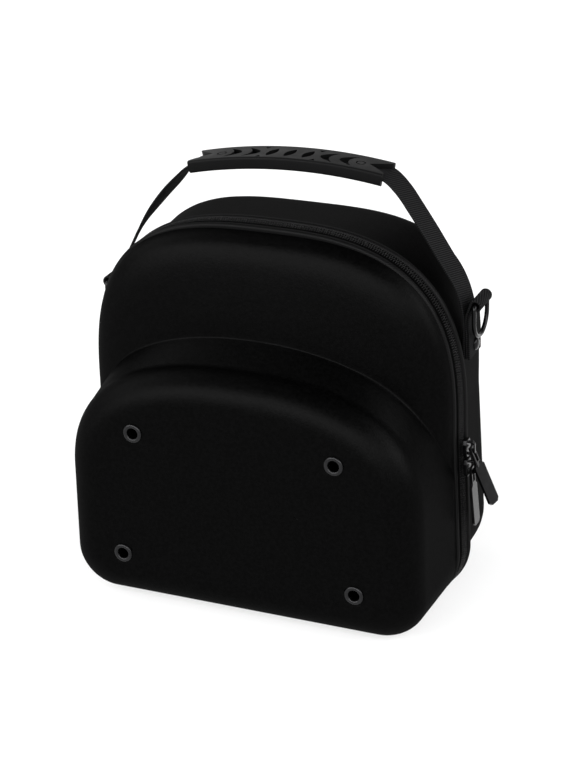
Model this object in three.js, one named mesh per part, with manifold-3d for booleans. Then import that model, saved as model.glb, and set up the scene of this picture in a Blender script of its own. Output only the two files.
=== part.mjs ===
// A hard-shell carrier for caps. Two moulded shells meet at a zip. A webbing handle with a moulded
// grip crosses the rear shell, and a ring for a shoulder strap hangs from each end of it.
// Millimetres, +Z up. The front faces -Y, x = 0 is the plane of symmetry, y = 0 is the plane of the
// handle and z = 0 is the base.

import * as THREE from "three";
import { mergeVertices } from "three/addons/utils/BufferGeometryUtils.js";
import Module from "manifold-3d";

const wasm = await Module();
wasm.setup();

// Kept between neighbouring pieces.
const GAP = 0.3;

// Shells. Depths are measured from the plane of the zip.
const ZIP_Y = -34.5;
const FRONT_DEPTH = 81.2;
const REAR_DEPTH = 89.5;
const WALL = 3;
const VISOR_ROUND = 24;
const REAR_ROUND = 27;
const ROUND_STEPS = 4;
const WALL_STEPS = 3;

// Lips and zip. ZIP_HALF is half the distance between the lips.
const ZIP_HALF = 5.5;
const LIP_THICK = 4.8;
const LIP_WIDTH = { front: 8.2, rear: 8.6 };
const LIP_ROUND = 1.3;
const COIL = { inset: 0, half: 2.9, slit: 0.15 };
const TAPE = { inset: 2.6, thick: 1.2 };
const HINGE_STRIP = { length: 210, thick: 1.2, z: 1.6 };
const RIM = ZIP_HALF + LIP_THICK + 2 * GAP;

// Arched outlines in the XZ plane: half widths above the lower corners (foot) and where the dome
// springs (waist), the heights of springing and crown, the exponent of the dome's superellipse, and
// the lower corners' radius. The rear lip stands a little wider than the front one.
const OUTLINES = {
  lip: { foot: 140, waist: 136.6, waistZ: 138, crown: 273, power: 2.88, corner: 42.7, base: 0 },
  rearLip: { foot: 142.4, waist: 139, waistZ: 138, crown: 273.2, power: 2.78, corner: 43.5, base: 0 },
  pillowRim: { foot: 138.9, waist: 135.5, waistZ: 138, crown: 269.6, power: 2.98, corner: 42.7, base: 4 },
  visorRim: { foot: 138.9, waist: 137.4, waistZ: 93.5, crown: 220, power: 1.95, corner: 41, base: 0 },
  visorEdge: { foot: 133.6, waist: 132.7, waistZ: 93.5, crown: 186.2, power: 2.46, corner: 31, base: 1.8 },
  rearRim: { foot: 135, waist: 131.6, waistZ: 138, crown: 268, power: 2.88, corner: 42.7, base: 0 },
  rearEdge: { foot: 133.8, waist: 128.7, waistZ: 143.4, crown: 266, power: 3.39, corner: 42.7, base: 0 },
};
const CORNER_STEPS = 4;
const DOME_STEPS = 12;
const CORNER_SHRINK = 0.6;
const CORNER_LEAST = 3;

// Sections of the pillow-shaped upper front face: depth ahead of the zip, inset from its rim.
const PILLOW = [
  { depth: RIM, inset: 0 },
  { depth: 16.5, inset: 2 },
  { depth: 21.5, inset: 6 },
  { depth: 25.5, inset: 12 },
  { depth: 29, inset: 20.4 },
  { depth: 32.5, inset: 34.2 },
  { depth: 36.5, inset: 55.3 },
  { depth: 39, inset: 77.3 },
];

// Eyelets in the front face.
const EYELET = { hole: 4, barrel: 4.7, flange: 7, back: 6.3, proud: 1.4, backThick: 0.8, steps: 16 };
const EYELETS = [
  { name: "upper", x: 75, z: 137.1 },
  { name: "lower", x: 88.3, z: 40.3 },
];

// Sliders and pulls, on the right-hand run of the zip. tilt is how far each pull stands out, and twist is
// how far its plate is turned towards the front.
const SLIDERS = [
  { name: "upper", z: 124, tilt: 23.5, twist: 14 },
  { name: "lower", z: 109, tilt: 5, twist: 0 },
];
const SLIDER = { length: 12.5, half: 4.6, nose: 3.2, thick: 2.8, bridge: 2.4, back: 1.5 };
const BRIDGE = { length: 10.4, leg: 1.5, clear: 1.9, rise: 3, chamfer: 1.6 };
const PULL = { length: 43.5, half: 5.6, thick: 2, neck: 12, neckHalf: 3.3, eye: 1.9, bar: 1.6, chamfer: 2.2 };

// Webbing handle. The table is the centre line beside the case, from its lower end to the grip. The
// first rows, which are fixed to the case, are raised or lowered with the side's ring tab.
const STRAP = { width: 25, thick: 1.8, runSteps: 18, bendSteps: 5, arcSteps: 10, bend: 6, fixedRows: 2 };
const STRAP_RUN = [
  { x: 131.5, z: 176.7 },
  { x: 131.4, z: 190.3 },
  { x: 131.1, z: 205 },
  { x: 129.7, z: 217.4 },
  { x: 124.7, z: 232.8 },
  { x: 113, z: 251.3 },
  { x: 102.2, z: 268.2 },
  { x: 87.2, z: 290.3 },
];

// Moulded grip: an arched sleeve, a little higher on the right, as the handle falls.
const GRIP = { half: 72.6, rise: 7, width: 28.4, thick: 9, topZ: 312.9, tilt: 2.3, steps: 14, edge: 1 };
const NOTCH = { deep: 14, mouth: 10 };
// Cut-outs in its top, about a middle a little off the sleeve's own.
const PATTERN = { x: 1, y: -1.4 };
const OVAL = { xs: [-13.2, 0, 13.2], length: 16, width: 6.4, slant: 12.7, steps: 12 };
const CRESCENT = { fronts: [22.4, 36.5], half: 9.2, bow: 11.6, hollow: 4.9, tip: 0.4, steps: 6 };
const DART = { x: 20.2, base: 10.6, apex: 7.6, half: 2.3 };

// Ring tab, ring and rivet, as on the right-hand side, and how much higher each side's are and further out
// its ring hangs.
const SIDES = [
  { name: "right", turn: 0, rise: 3, out: 0 },
  { name: "left", turn: Math.PI, rise: -15, out: 2.9 },
];
const TAB = { thick: 1.6, levels: [177.6, 192, 207], clear: 1.2, wrap: 300, steps: 14 };
const RING = { x: 139.5, z: 217.6, wire: 3.2, inside: 26, drop: 25.2, corner: 2.8, straight: 11, steps: 28 };
const RING_SIDES = 8;
const RIVET = { z: 185, head: 4.6, dome: 2.3, shank: 2, tail: 4, tailThick: 1, steps: 12 };

const FINISHES = {
  cloth: { color: 0x19191b, roughness: 0.86, metalness: 0 },
  lip: { color: 0x1e1e20, roughness: 0.8, metalness: 0 },
  tape: { color: 0x131315, roughness: 0.75, metalness: 0 },
  webbing: { color: 0x1d1d20, roughness: 0.88, metalness: 0 },
  rubber: { color: 0x363638, roughness: 0.55, metalness: 0 },
  satin: { color: 0x222224, roughness: 0.4, metalness: 0.8 },
  gloss: { color: 0x2a2a2c, roughness: 0.2, metalness: 0.9 },
};

const radians = THREE.MathUtils.degToRad;
const carrier = new THREE.Group();

// Geometry helpers.

// Joins shared vertices, drops triangles without area and turns the faces outwards.
function closedSkin(geometry) {
  const bare = new THREE.BufferGeometry();
  bare.setAttribute("position", geometry.getAttribute("position"));
  bare.setIndex(geometry.getIndex());
  const merged = mergeVertices(bare);
  const source = merged.getIndex().array;
  const point = (i) => new THREE.Vector3().fromBufferAttribute(merged.getAttribute("position"), i);
  const triangles = [];
  let volume = 0;
  for (let i = 0; i < source.length; i += 3) {
    const [a, b, c] = [source[i], source[i + 1], source[i + 2]];
    if (a !== b && b !== c && c !== a) {
      triangles.push([a, b, c]);
      volume += point(a).dot(point(b).cross(point(c)));
    }
  }
  const outward = volume > 0 ? triangles : triangles.map(([a, b, c]) => [a, c, b]);
  merged.setIndex(outward.flat());
  return merged;
}

function toSolid(geometry) {
  const skin = closedSkin(geometry);
  const mesh = new wasm.Mesh({
    numProp: 3,
    vertProperties: Float32Array.from(skin.getAttribute("position").array),
    triVerts: Uint32Array.from(skin.getIndex().array),
  });
  return new wasm.Manifold(mesh);
}

function toGeometry(solid) {
  const mesh = solid.getMesh();
  const geometry = new THREE.BufferGeometry();
  geometry.setAttribute("position", new THREE.BufferAttribute(mesh.vertProperties, 3));
  geometry.setIndex(new THREE.BufferAttribute(mesh.triVerts, 1));
  return geometry;
}

const join = (geometries) => toGeometry(geometries.map(toSolid).reduce((a, b) => a.add(b)));

const cut = (geometry, tools) => toGeometry(tools.map(toSolid).reduce((a, b) => a.subtract(b), toSolid(geometry)));

// Skin through rings of points. With an outline the two ends are filled, otherwise the rings close up.
function skinThrough(rings, outline = null) {
  const count = rings[0].length;
  const spans = outline ? rings.length - 1 : rings.length;
  const index = [];
  for (let r = 0; r < spans; r += 1) {
    const a = r * count;
    const b = ((r + 1) % rings.length) * count;
    for (let k = 0; k < count; k += 1) {
      const n = (k + 1) % count;
      index.push(a + k, b + k, b + n, a + k, b + n, a + n);
    }
  }
  if (outline) {
    const end = spans * count;
    for (const [i, j, k] of THREE.ShapeUtils.triangulateShape(outline, [])) {
      index.push(i, j, k, end + k, end + j, end + i);
    }
  }
  return new THREE.BufferGeometry().setFromPoints(rings.flat()).setIndex(index);
}

// Outline in the XZ plane, extruded along Y and centred on y = 0.
function acrossY(points, width) {
  const shape = new THREE.Shape(points);
  const geometry = new THREE.ExtrudeGeometry(shape, { depth: width, bevelEnabled: false });
  return geometry.rotateX(Math.PI / 2).translate(0, width / 2, 0);
}

// Shape in the YZ plane, extruded along X from x = 0.
function alongX(shape, thick) {
  const geometry = new THREE.ExtrudeGeometry(shape, { depth: thick, bevelEnabled: false });
  const [x, y, z] = [new THREE.Vector3(1, 0, 0), new THREE.Vector3(0, 1, 0), new THREE.Vector3(0, 0, 1)];
  return geometry.applyMatrix4(new THREE.Matrix4().makeBasis(y, z, x));
}

const corners = (pairs) => pairs.map(([u, v]) => new THREE.Vector2(u, v));

// Outline of a ribbon of even thickness along a line of points.
function ribbon(points, thick) {
  const side = (sign) => points.map((p, i) => {
    const along = points[Math.min(i + 1, points.length - 1)].clone().sub(points[Math.max(i - 1, 0)]).normalize();
    return new THREE.Vector2(p.x - along.y * sign * thick / 2, p.y + along.x * sign * thick / 2);
  });
  return [...side(1), ...side(-1).reverse()];
}

function addPiece(name, geometry, finish, parent = carrier) {
  const mesh = new THREE.Mesh(closedSkin(geometry), new THREE.MeshStandardMaterial(FINISHES[finish]));
  mesh.name = name;
  parent.add(mesh);
  return mesh;
}

// Arched outlines.

function inset(outline, d) {
  return {
    ...outline,
    foot: outline.foot - d,
    waist: outline.waist - d,
    crown: outline.crown - d,
    corner: Math.max(outline.corner - CORNER_SHRINK * d, CORNER_LEAST),
    base: outline.base + d,
  };
}

const between = (a, b, t) => Object.fromEntries(
  Object.keys(a).map((key) => [key, THREE.MathUtils.lerp(a[key], b[key], t)]),
);

function archPoints(o) {
  const half = [];
  for (let i = 0; i <= CORNER_STEPS; i += 1) {
    const a = (i / CORNER_STEPS) * (Math.PI / 2);
    half.push([o.foot - o.corner * (1 - Math.sin(a)), o.base + o.corner * (1 - Math.cos(a))]);
  }
  for (let i = 0; i < DOME_STEPS; i += 1) {
    const a = (i / DOME_STEPS) * (Math.PI / 2);
    const rise = (o.crown - o.waistZ) * Math.sin(a) ** (2 / o.power);
    half.push([o.waist * Math.cos(a) ** (2 / o.power), o.waistZ + rise]);
  }
  const mirrored = half.map(([x, z]) => [-x, z]).reverse();
  return corners([...half, [0, o.crown], ...mirrored]);
}

const section = (outline, y) => archPoints(outline).map((p) => new THREE.Vector3(p.x, y, p.y));

// Half width of an arched outline's side or dome at height z.
function halfWidth(o, z) {
  if (z > o.waistZ) {
    const t = (z - o.waistZ) / (o.crown - o.waistZ);
    return o.waist * (1 - t ** o.power) ** (1 / o.power);
  }
  const t = (z - o.base - o.corner) / (o.waistZ - o.base - o.corner);
  return o.foot + (o.waist - o.foot) * t;
}

// Shells.

// Solid through rows of depth and outline, on the front (-1) or the rear (1) of the zip.
function loft(rows, facing) {
  const rings = rows.map(({ depth, outline }) => section(outline, ZIP_Y + facing * depth));
  return skinThrough(rings, archPoints(rows[0].outline));
}

// Tray from the rim to a flat face with a rounded edge. thinner is 0 for the outside, WALL inside.
function trayRows(rim, edge, deep, round, thinner) {
  const start = thinner > 0 ? RIM - WALL : RIM;
  const rows = [];
  for (let i = 0; i < WALL_STEPS; i += 1) {
    const t = i / WALL_STEPS;
    rows.push({
      depth: THREE.MathUtils.lerp(start, deep - round, t),
      outline: inset(between(rim, edge, t), thinner),
    });
  }
  for (let i = 0; i <= ROUND_STEPS; i += 1) {
    const a = (i / ROUND_STEPS) * (Math.PI / 2);
    const r = round - thinner;
    rows.push({
      depth: deep - round + r * Math.sin(a),
      outline: inset(edge, thinner + r * (1 - Math.cos(a))),
    });
  }
  return rows;
}

function pillowRows(thinner) {
  return PILLOW.map((row, i) => ({
    depth: i === 0 && thinner > 0 ? RIM - WALL : row.depth - (i === 0 ? 0 : thinner),
    outline: inset(OUTLINES.pillowRim, row.inset + thinner),
  }));
}

function frontTray(thinner) {
  return join([
    loft(pillowRows(thinner), -1),
    loft(trayRows(OUTLINES.visorRim, OUTLINES.visorEdge, FRONT_DEPTH, VISOR_ROUND, thinner), -1),
  ]);
}

function rearTray(thinner) {
  return loft(trayRows(OUTLINES.rearRim, OUTLINES.rearEdge, REAR_DEPTH, REAR_ROUND, thinner), 1);
}

const frontFaceY = ZIP_Y - FRONT_DEPTH;
const eyeletPlaces = EYELETS.flatMap(({ name, x, z }) => [
  { name: `eyelet_${name}_left`, x: -x, z },
  { name: `eyelet_${name}_right`, x, z },
]);
const eyeletHoles = eyeletPlaces.map(({ x, z }) => {
  const r = EYELET.barrel + GAP;
  return new THREE.CylinderGeometry(r, r, 4 * WALL, EYELET.steps).translate(x, frontFaceY, z);
});

// Holes for the rivets, through shell, webbing and tab on both sides.
function rivetHole({ turn, rise }) {
  const r = RIVET.shank + GAP;
  const bore = new THREE.CylinderGeometry(r, r, 30, RIVET.steps).rotateZ(Math.PI / 2);
  return bore.translate(RING.x, 0, RIVET.z + rise).rotateZ(turn);
}
const rivetHoles = SIDES.map(rivetHole);

addPiece("front_shell", cut(frontTray(0), [frontTray(WALL), ...eyeletHoles]), "cloth");
addPiece("rear_shell", cut(rearTray(0), [rearTray(WALL), ...rivetHoles]), "cloth");

// Lips, zip and hinge strip. A profile's corners are insets from a lip's outline and depths.

function aroundLip(profile, facing) {
  const lip = facing < 0 ? OUTLINES.lip : OUTLINES.rearLip;
  const outlines = profile.map(({ x, y }) => section(inset(lip, x), ZIP_Y + facing * y));
  return outlines[0].map((_, k) => outlines.map((points) => points[k]));
}

const lipFace = ZIP_HALF + GAP;
const lipBack = lipFace + LIP_THICK;
const lipProfile = (width) => corners([
  [LIP_ROUND, lipFace],
  [width, lipFace],
  [width, lipBack],
  [LIP_ROUND, lipBack],
  [0, lipBack - LIP_ROUND],
  [0, lipFace + LIP_ROUND],
]);
const zipProfile = corners([
  [COIL.inset, COIL.slit],
  [TAPE.inset + TAPE.thick, COIL.slit],
  [TAPE.inset + TAPE.thick, ZIP_HALF],
  [TAPE.inset, ZIP_HALF],
  [TAPE.inset, COIL.half],
  [COIL.inset, COIL.half],
]);

addPiece("front_lip", skinThrough(aroundLip(lipProfile(LIP_WIDTH.front), -1)), "lip");
addPiece("rear_lip", skinThrough(aroundLip(lipProfile(LIP_WIDTH.rear), 1)), "lip");
addPiece("zip_front", skinThrough(aroundLip(zipProfile, -1).slice(1, -1), zipProfile), "tape");
addPiece("zip_rear", skinThrough(aroundLip(zipProfile, 1).slice(1, -1), zipProfile), "tape");

const hingeStrip = new THREE.BoxGeometry(HINGE_STRIP.length, 2 * ZIP_HALF, HINGE_STRIP.thick);
addPiece("hinge_strip", hingeStrip, "tape").position.set(0, ZIP_Y, HINGE_STRIP.z);

// Eyelets: a rolled flange outside, a barrel through the wall and a washer inside.

const eyeletProfile = corners([
  [EYELET.hole, -EYELET.proud * 0.6],
  [EYELET.hole + 1.2, -EYELET.proud],
  [EYELET.flange - 0.6, -EYELET.proud * 0.85],
  [EYELET.flange, -GAP - 0.2],
  [EYELET.flange - 0.3, -GAP],
  [EYELET.barrel, -GAP],
  [EYELET.barrel, WALL + GAP],
  [EYELET.back, WALL + GAP],
  [EYELET.back, WALL + GAP + EYELET.backThick],
  [EYELET.hole, WALL + GAP + EYELET.backThick],
  [EYELET.hole, -EYELET.proud * 0.6],
]);
for (const { name, x, z } of eyeletPlaces) {
  const eyelet = addPiece(name, new THREE.LatheGeometry(eyeletProfile, EYELET.steps), "satin");
  eyelet.position.set(x, frontFaceY, z);
}

// Sliders and pulls. Each slider's origin is the axis that its pull turns about.

function sliderGeometry() {
  const plateTop = -BRIDGE.clear;
  const l = SLIDER.length / 2;
  const plate = new THREE.Shape(corners([
    [-SLIDER.nose, l],
    [-SLIDER.half, l / 2],
    [-SLIDER.half, -l / 2],
    [-SLIDER.nose, -l],
    [SLIDER.nose, -l],
    [SLIDER.half, -l / 2],
    [SLIDER.half, l / 2],
    [SLIDER.nose, l],
  ]));
  const foot = plateTop - SLIDER.thick / 2;
  const b = BRIDGE.length / 2;
  const c = BRIDGE.chamfer;
  const inner = b - BRIDGE.leg;
  const bridge = corners([
    [foot, -b],
    [BRIDGE.rise - c, -b],
    [BRIDGE.rise, -b + c],
    [BRIDGE.rise, b - c],
    [BRIDGE.rise - c, b],
    [foot, b],
    [foot, inner],
    [BRIDGE.clear - c / 2, inner],
    [BRIDGE.clear, inner - c / 2],
    [BRIDGE.clear, -inner + c / 2],
    [BRIDGE.clear - c / 2, -inner],
    [foot, -inner],
  ]);
  const plateSolid = alongX(plate, SLIDER.thick).translate(plateTop - SLIDER.thick, 0, 0);
  return join([plateSolid, acrossY(bridge, SLIDER.bridge)]);
}

function pullGeometry(twist) {
  const { length, half, neck, neckHalf, eye, bar, chamfer } = PULL;
  const link = new THREE.Shape(corners([
    [-neckHalf, bar / 2],
    [-neckHalf, -neck - chamfer],
    [neckHalf, -neck - chamfer],
    [neckHalf, bar / 2],
  ]));
  const plate = new THREE.Shape(corners([
    [-neckHalf, -neck],
    [-half, -neck - chamfer],
    [-half, -length + chamfer],
    [-half + chamfer, -length],
    [half - chamfer, -length],
    [half, -length + chamfer],
    [half, -neck - chamfer],
    [neckHalf, -neck],
  ]));
  link.holes.push(new THREE.Path(corners([
    [-eye, -bar / 2],
    [eye, -bar / 2],
    [eye, -neck + bar],
    [-eye, -neck + bar],
  ])));
  const flat = (shape) => alongX(shape, PULL.thick).translate(-PULL.thick / 2, 0, 0);
  return join([flat(link), flat(plate).rotateZ(-radians(twist))]);
}

const wideLip = OUTLINES.rearLip;
const sideLean = Math.atan2(wideLip.foot - wideLip.waist, wideLip.waistZ - wideLip.corner);
for (const { name, z, tilt, twist } of SLIDERS) {
  const pivot = new THREE.Group();
  const crest = halfWidth(wideLip, z) - COIL.inset;
  pivot.position.set(crest + GAP + SLIDER.thick + BRIDGE.clear, ZIP_Y + SLIDER.back, z);
  carrier.add(pivot);
  addPiece(`slider_${name}`, sliderGeometry(), "gloss", pivot).rotation.y = -sideLean;
  addPiece(`zip_pull_${name}`, pullGeometry(twist), "gloss", pivot).rotation.y = -radians(tilt);
}

// Grip. Its own frame has x = 0 at the middle and z = 0 on the middle surface of the sleeve.

const gripRadius = (GRIP.half ** 2 + GRIP.rise ** 2) / (2 * GRIP.rise) - GRIP.thick / 2;
const gripAngle = Math.asin(GRIP.half / (gripRadius + GRIP.thick / 2));
const gripMidZ = GRIP.topZ - GRIP.thick / 2;

function gripPoint(angle, offset) {
  const r = gripRadius + offset;
  return new THREE.Vector2(r * Math.sin(angle), r * Math.cos(angle) - gripRadius);
}

function gripBand(low, high, angle) {
  const arc = (offset) => Array.from({ length: GRIP.steps + 1 }, (_, i) => (
    gripPoint(angle * (1 - (2 * i) / GRIP.steps), offset)
  ));
  return [...arc(high), ...arc(low).reverse()];
}

// Upright cutter from the middle surface through the top of the sleeve, at a place in the pattern.
function topCutter(points, x) {
  const angle = Math.asin((PATTERN.x + x) / gripRadius);
  const at = gripPoint(angle, 0);
  const cutter = new THREE.ExtrudeGeometry(new THREE.Shape(points), { depth: GRIP.thick, bevelEnabled: false });
  return cutter.rotateY(angle).translate(at.x, PATTERN.y, at.y);
}

function ovalPoints() {
  const curve = new THREE.EllipseCurve(0, 0, OVAL.width / 2, OVAL.length / 2, 0, 2 * Math.PI, false, -radians(OVAL.slant));
  return curve.getPoints(OVAL.steps).slice(0, -1);
}

// Crescent that bulges towards -x, or +x when side is -1, from x = 0 to its pointed tips.
function crescentPoints(side) {
  const { half, bow, hollow, tip, steps } = CRESCENT;
  const arc = (x, bulge) => new THREE.QuadraticBezierCurve(
    new THREE.Vector2(x, half),
    new THREE.Vector2(x - 2 * bulge, 0),
    new THREE.Vector2(x, -half),
  ).getPoints(steps);
  const points = [...arc(bow, bow), ...arc(bow + tip, hollow).reverse()];
  return points.map(({ x, y }) => new THREE.Vector2(side * x, y));
}

// Small triangle beside an edge of the sleeve, pointing at the middle.
function dartPoints(edge) {
  const { base, apex, half } = DART;
  return corners([
    [-half, edge * base],
    [half, edge * base],
    [0, edge * apex],
  ]);
}

function notchCutter(side) {
  const points = corners([
    [GRIP.half - NOTCH.deep, 0],
    [GRIP.half + NOTCH.deep, -2 * NOTCH.mouth],
    [GRIP.half + NOTCH.deep, 2 * NOTCH.mouth],
  ]);
  const deep = 4 * GRIP.thick;
  const cutter = new THREE.ExtrudeGeometry(new THREE.Shape(points), { depth: deep, bevelEnabled: false });
  return cutter.translate(0, 0, -deep / 2).rotateZ(side > 0 ? 0 : Math.PI);
}

function gripGeometry() {
  const e = GRIP.edge;
  const half = GRIP.thick / 2;
  const sleeve = join([
    acrossY(gripBand(-half + e, half - e, gripAngle), GRIP.width),
    acrossY(gripBand(-half, half, gripAngle), GRIP.width - 2 * e),
  ]);
  const clear = STRAP.thick / 2 + GAP;
  const tunnel = acrossY(gripBand(-clear, clear, 1.1 * gripAngle), STRAP.width + 2 * GAP);
  const ovals = OVAL.xs.map((x) => topCutter(ovalPoints(), x));
  const ends = [-1, 1].flatMap((side) => [
    ...CRESCENT.fronts.map((x) => topCutter(crescentPoints(side), side * x)),
    ...[-1, 1].map((edge) => topCutter(dartPoints(edge), side * DART.x)),
    notchCutter(side),
  ]);
  return cut(sleeve, [tunnel, ...ovals, ...ends]);
}

const grip = addPiece("grip", gripGeometry(), "rubber");
grip.position.z = gripMidZ;
grip.rotation.y = -radians(GRIP.tilt);

// Webbing from the lower end on the right, through the grip, to the lower end on the left.

const gripToCase = (p) => p.clone().rotateAround(new THREE.Vector2(), radians(GRIP.tilt)).add(new THREE.Vector2(0, gripMidZ));

function strapRun(rise) {
  const points = STRAP_RUN.map(({ x, z }, i) => new THREE.Vector2(x, i < STRAP.fixedRows ? z + rise : z));
  return new THREE.SplineCurve(points);
}

function strapSide({ turn, rise }) {
  const side = Math.cos(turn);
  const run = strapRun(rise);
  run.points.forEach((p) => p.setX(side * p.x));
  const low = run.getPoint(1);
  const high = gripToCase(gripPoint(side * gripAngle, 0));
  const before = gripToCase(gripPoint(side * gripAngle * 0.99, 0));
  const bend = new THREE.CubicBezierCurve(
    low,
    low.clone().addScaledVector(run.getTangent(1), STRAP.bend),
    high.clone().addScaledVector(high.clone().sub(before).normalize(), STRAP.bend),
    high,
  );
  return [...run.getSpacedPoints(STRAP.runSteps), ...bend.getPoints(STRAP.bendSteps).slice(1)];
}

function strapPath() {
  const arc = [];
  for (let i = 1; i < STRAP.arcSteps; i += 1) {
    arc.push(gripToCase(gripPoint(gripAngle * (1 - (2 * i) / STRAP.arcSteps), 0)));
  }
  const [right, left] = SIDES.map(strapSide);
  return [...right, ...arc, ...left.reverse()];
}

addPiece("handle_strap", cut(acrossY(ribbon(strapPath(), STRAP.thick), STRAP.width), rivetHoles), "webbing");

// Ring tabs, rings and rivets. Each side is made as the right one and then turned round.

// Folded webbing: up along the strap, round the ring's bar and back down on top of itself.
function tabPath({ rise, out }) {
  const strap = strapRun(rise).getSpacedPoints(200);
  const innerLeg = TAB.levels.map((level) => {
    const z = level + rise;
    const beside = strap.find((p) => p.y >= z);
    return new THREE.Vector2(beside.x + STRAP.thick / 2 + GAP + TAB.thick / 2, z);
  });
  const r = RING.wire / 2 + TAB.clear + TAB.thick / 2;
  const eye = Array.from({ length: TAB.steps + 1 }, (_, i) => {
    const a = Math.PI - radians(TAB.wrap) * (i / TAB.steps);
    return new THREE.Vector2(RING.x + out + r * Math.cos(a), RING.z + rise + r * Math.sin(a));
  });
  const apart = new THREE.Vector2(TAB.thick + GAP, 0);
  const outerLeg = innerLeg.map((p) => p.clone().add(apart)).reverse();
  return [...innerLeg, ...eye, ...outerLeg];
}

function ringGeometry() {
  const half = RING.inside / 2 + RING.wire / 2;
  const { corner, straight, drop, steps, wire } = RING;
  const path = new THREE.Path();
  path.moveTo(0, 0);
  path.lineTo(half - corner, 0);
  path.absarc(half - corner, -corner, corner, Math.PI / 2, 0, true);
  path.lineTo(half, -straight);
  path.absellipse(0, -straight, half, drop - straight, 0, -Math.PI, true);
  path.lineTo(-half, -corner);
  path.absarc(-half + corner, -corner, corner, Math.PI, Math.PI / 2, true);
  path.lineTo(0, 0);
  const line = path.getSpacedPoints(steps).slice(0, -1);
  const rings = line.map((p, i) => {
    const along = line[(i + 1) % line.length].clone().sub(line[(i + line.length - 1) % line.length]).normalize();
    return Array.from({ length: RING_SIDES }, (_, k) => {
      const a = ((k + 0.5) / RING_SIDES) * 2 * Math.PI;
      const out = (wire / 2) * Math.cos(a);
      return new THREE.Vector3((wire / 2) * Math.sin(a), p.x - along.y * out, p.y + along.x * out);
    });
  });
  return skinThrough(rings);
}

function rivetGeometry(deep) {
  const { head, dome, shank, tail, tailThick, steps } = RIVET;
  const profile = corners([
    [0, GAP + dome],
    [head * 0.5, GAP + dome * 0.85],
    [head * 0.85, GAP + dome * 0.5],
    [head, GAP],
    [shank, GAP],
    [shank, -deep],
    [tail, -deep],
    [tail, -deep - tailThick],
    [0, -deep - tailThick],
  ]);
  return new THREE.LatheGeometry(profile, steps);
}

for (const { name, turn, rise, out } of SIDES) {
  const side = new THREE.Group();
  side.rotation.z = turn;
  carrier.add(side);
  const path = tabPath({ rise, out });
  const tab = acrossY(ribbon(path, TAB.thick), STRAP.width);
  addPiece(`ring_loop_${name}`, cut(tab, [rivetHole({ turn: 0, rise })]), "webbing", side);
  addPiece(`d_ring_${name}`, ringGeometry(), "gloss", side).position.set(RING.x + out, 0, RING.z + rise);
  const face = path.at(-1).x + TAB.thick / 2;
  const z = RIVET.z + rise;
  const inside = halfWidth(inset(OUTLINES.rearEdge, WALL), z + RIVET.tail) - 2 * GAP;
  const rivet = addPiece(`strap_rivet_${name}`, rivetGeometry(face - inside), "gloss", side);
  rivet.position.set(face, 0, z);
  rivet.rotation.z = -Math.PI / 2;
}

export default carrier;
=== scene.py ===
"""Looks for a hard-shell carrier for caps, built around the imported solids.

Sizes are millimetres in the frame's axes (+Z up, front at -Y, x = 0 the plane of symmetry) and are
scaled to metres when a mesh is made.
"""
import math

import bmesh
import bpy
import numpy as np
from mathutils import Matrix, Vector


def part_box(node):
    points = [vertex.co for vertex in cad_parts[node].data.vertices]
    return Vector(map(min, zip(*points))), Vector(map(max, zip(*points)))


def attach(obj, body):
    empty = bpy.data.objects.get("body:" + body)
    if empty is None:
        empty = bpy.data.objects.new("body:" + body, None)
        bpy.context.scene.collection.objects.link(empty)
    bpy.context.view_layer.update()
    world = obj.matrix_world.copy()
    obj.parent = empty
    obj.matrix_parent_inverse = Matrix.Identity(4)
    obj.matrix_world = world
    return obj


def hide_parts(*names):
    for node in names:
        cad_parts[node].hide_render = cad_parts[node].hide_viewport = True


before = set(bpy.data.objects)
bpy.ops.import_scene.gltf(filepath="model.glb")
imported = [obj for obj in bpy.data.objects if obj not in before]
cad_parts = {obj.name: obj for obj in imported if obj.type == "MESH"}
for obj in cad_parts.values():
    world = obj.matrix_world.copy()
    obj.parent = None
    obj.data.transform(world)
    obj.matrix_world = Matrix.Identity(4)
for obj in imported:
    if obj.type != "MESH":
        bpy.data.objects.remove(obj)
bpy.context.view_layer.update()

MM = 0.001

# Camera: where it looks, how far off it stands and how it is turned. Its lens follows from a focal length
# and a picture's height in pixels.
CAMERA = dict(target=(10.2, -38.5, 154.5), distance=1486.2, azimuth=23.37, elevation=24.46, roll=-1.65)
FOCAL_PIXELS = 2102.8
IMAGE_HEIGHT = 768
SENSOR = 36.0
FAR_CLIP_METRES = 50.0

# Studio: pale floor with its sizes in metres, pale walls under a darker ceiling, and broad lights.
FLOOR = dict(size=12.0, drop=0.0005, shade=0.32, roughness=0.9, gloss=0.1, glow=0.62)
WALLS = 0.95
CEILING = 0.2
CEILING_FROM = 0.7
LIGHT_SPREAD = 35.0
LIGHTS = (
    dict(name="far_left", azimuth=-88, elevation=32, power=0.75),
    dict(name="far_left_above", azimuth=-105, elevation=50, power=0.3),
    dict(name="left", azimuth=-50, elevation=22, power=1.35),
    dict(name="left_front", azimuth=-22, elevation=36, power=1.75),
    dict(name="right_front", azimuth=14, elevation=30, power=1.6),
    dict(name="right", azimuth=52, elevation=34, power=1.2),
    dict(name="far_right", azimuth=92, elevation=27, power=1.7),
    dict(name="right_above", azimuth=112, elevation=44, power=0.75),
    dict(name="behind", azimuth=-160, elevation=30, power=0.2),
)

# Shells. Depths are measured from the plane of the zip.
ZIP_Y = -34.5
FRONT_DEPTH = 81.2
REAR_DEPTH = 89.5
WALL = 3.0
VISOR_ROUND = 24.0
REAR_ROUND = 27.0
RIM = 10.9
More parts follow.
